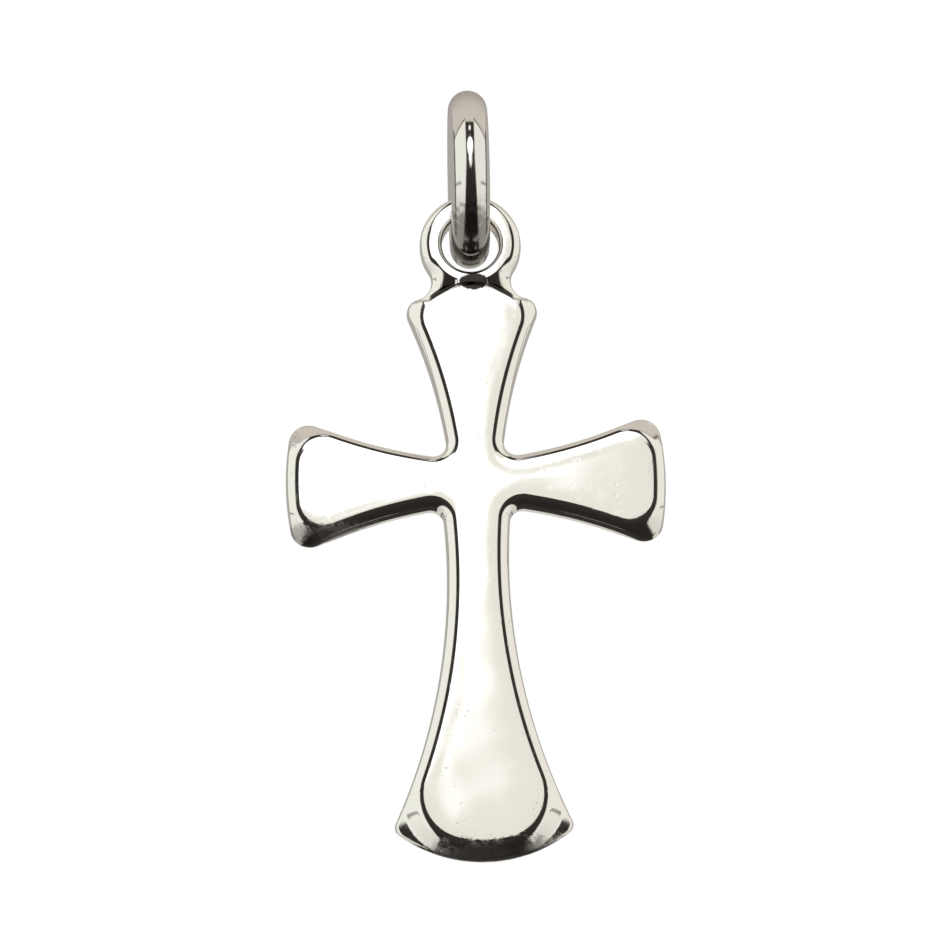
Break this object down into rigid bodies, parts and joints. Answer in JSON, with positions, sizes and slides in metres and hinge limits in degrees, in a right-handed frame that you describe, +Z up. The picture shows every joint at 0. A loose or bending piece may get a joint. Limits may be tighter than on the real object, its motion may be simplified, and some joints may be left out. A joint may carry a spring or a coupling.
{
  "type": "cross pendant",
  "caption": "Small polished silver cross with flared arms, rounded edges and an eyelet, hanging free on a soldered jump ring.",
  "frame": {"origin": "where a chain bears on the inside of the jump ring's top, in the middle of the wire", "axes": "+Z up, -Y the way the cross's face looks, X across the side arms and along a chain that passes through the ring"},
  "size_m": [0.0114, 0.0054, 0.0236],
  "materials": {
    "cross_silver": "mirror-polished sterling silver with fine handling marks",
    "ring_silver": "polished sterling silver wire, slightly duller than the cross"
  },
  "bodies": {
    "ring": {"jump_ring": "ring_silver"},
    "pendant": {"cross": "cross_silver"}
  },
  "joints": [
    {"name": "swing", "type": "hinge", "parent": "ring", "child": "pendant", "pos_m": [0, 0, -0.00364], "axis": [0, 1, 0], "range_deg": [-90, 90]}
  ]
}
